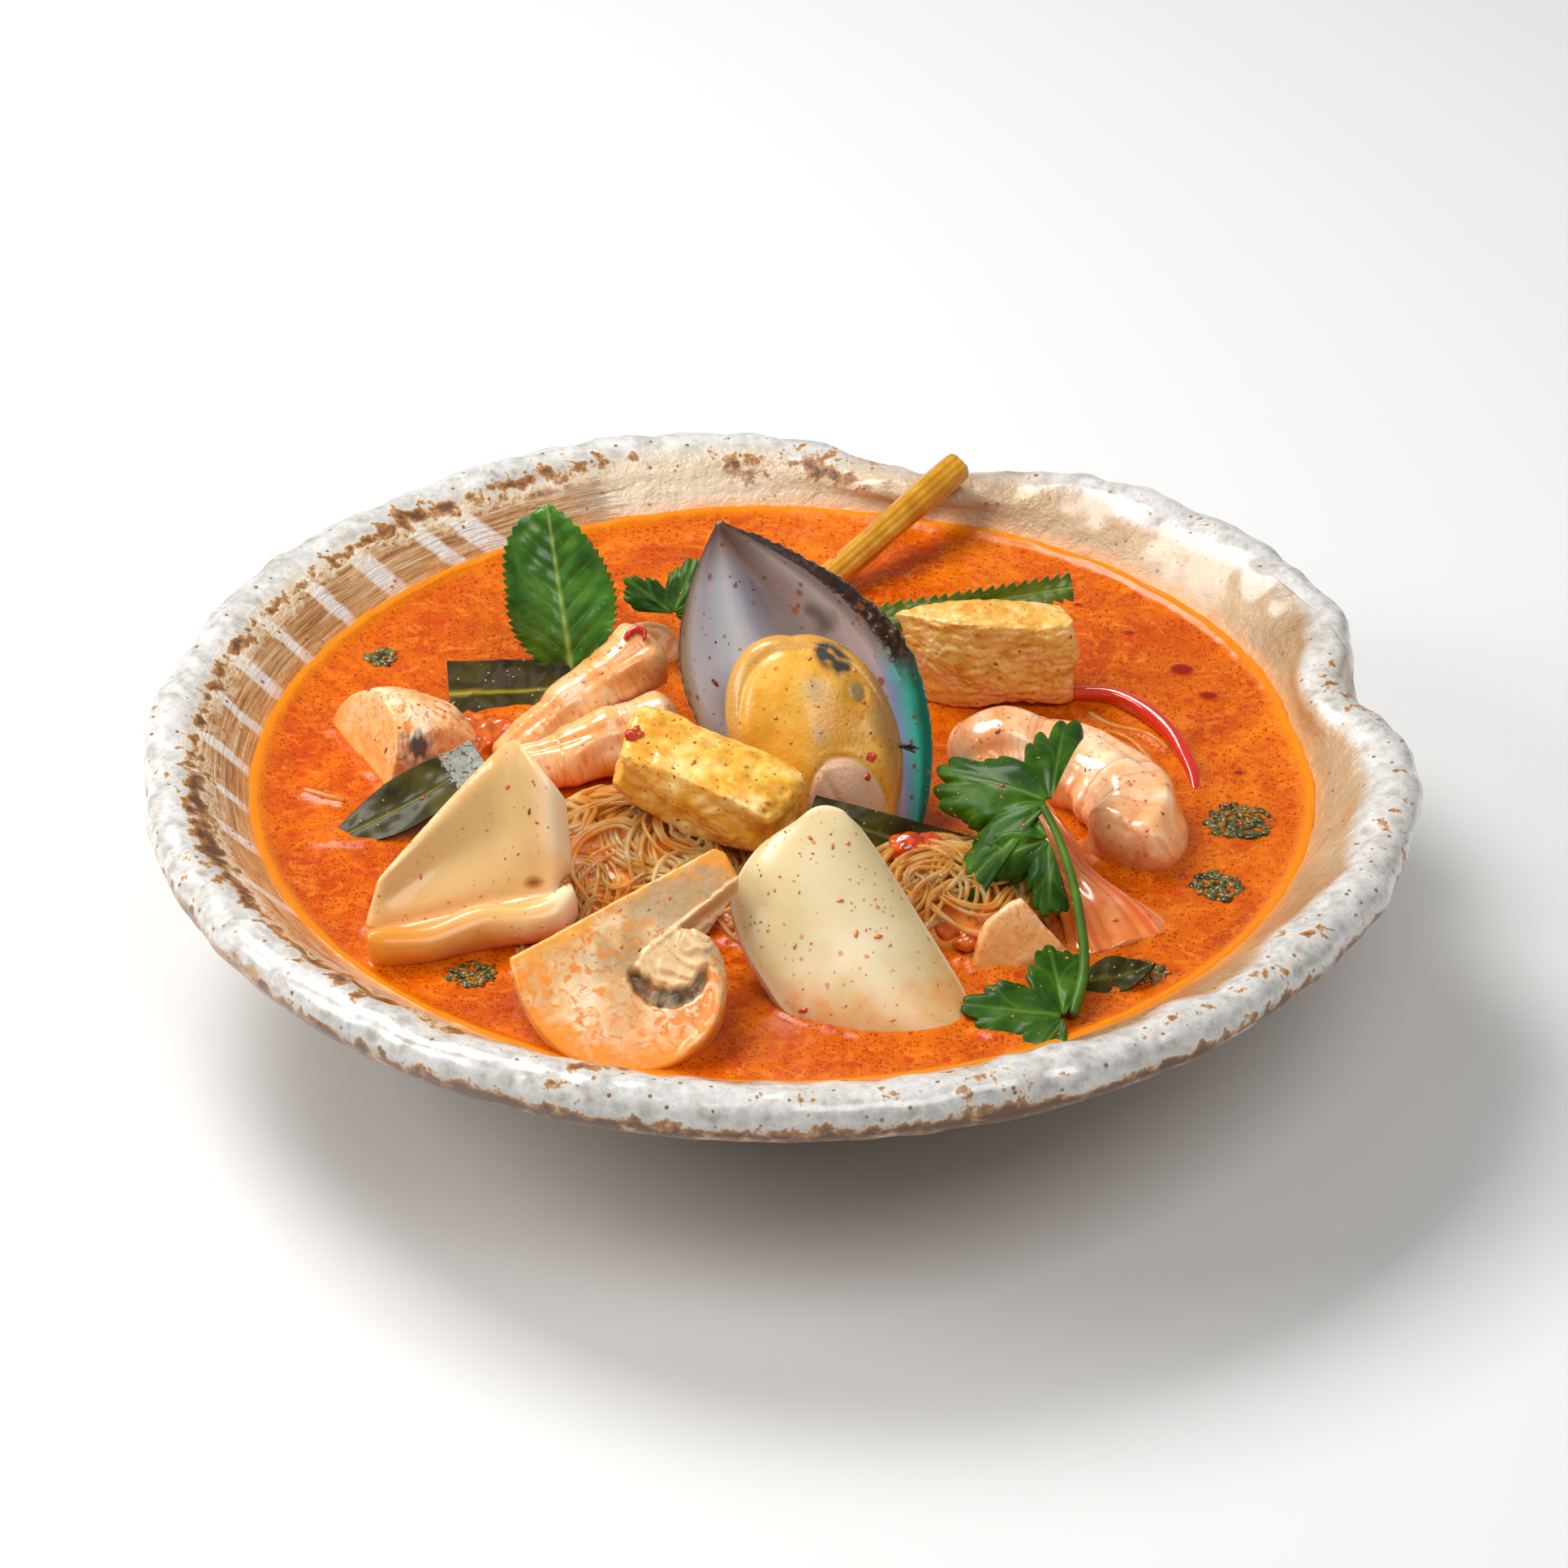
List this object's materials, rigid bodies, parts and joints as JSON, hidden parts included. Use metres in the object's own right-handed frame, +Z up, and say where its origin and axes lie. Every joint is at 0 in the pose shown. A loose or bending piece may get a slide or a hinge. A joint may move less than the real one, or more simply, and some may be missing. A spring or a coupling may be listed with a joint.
{
  "type": "tom yum soup in a bowl",
  "caption": "Wide hand-made glazed bowl of orange tom yum soup with mussel, prawns, squid, tofu, mushrooms, glass noodles, lemongrass and green leaves.",
  "frame": {"origin": "middle of the bounding box, at the bottom of the bowl's foot ring", "axes": "+Z up; +X to the right and +Y away from the viewer of the picture"},
  "size_m": [0.242, 0.2434, 0.0902],
  "materials": {
    "glaze": "thick glossy off-white glaze with brown iron spots and brushed brown wash",
    "broth": "orange coconut broth with red oil and specks",
    "shell": "grey mother-of-pearl inside, dark outside, green lip",
    "mussel": "wet yellow-orange mussel flesh",
    "tofu": "fried yellow tofu, uneven browned skin",
    "squid": "smooth wet cream-coloured squid",
    "mushroom": "cut button mushroom stained by the broth",
    "prawn": "cooked peeled prawn with orange bands",
    "lemongrass": "golden lemongrass stalk, fine lines along it",
    "tomato": "cooked tomato and chilli paste",
    "chilli": "red chilli strip",
    "leaf": "fresh green leaf with paler veins",
    "lime_leaf": "dark cooked lime leaf",
    "noodle": "translucent glass noodles coloured by the broth"
  },
  "bodies": {
    "root": {"bowl": "glaze", "mussel_shell": "shell", "mussel_meat": "mussel", "tofu_front": "tofu", "tofu_back": "tofu", "squid_sheet": "squid", "squid_scoop": "squid", "mushroom_slice": "mushroom", "prawn_left": "prawn", "prawn_right": "prawn", "prawn_tail": "prawn", "mushroom_left": "mushroom", "mushroom_right": "mushroom", "mushroom_back": "mushroom", "lemongrass": "lemongrass", "tomato_left": "tomato", "tomato_middle": "tomato", "chilli_strip": "chilli", "basil_leaf": "leaf", "culantro_strip": "leaf", "lime_leaf_back": "lime_leaf", "lime_leaf_left": "lime_leaf", "lime_leaf_middle": "lime_leaf", "lime_leaf_right": "lime_leaf", "coriander_stem": "leaf", "coriander_top": "leaf", "coriander_side": "leaf", "coriander_base": "leaf", "coriander_back": "leaf", "glass_noodles": "noodle", "soup": "broth"}
  },
  "joints": []
}
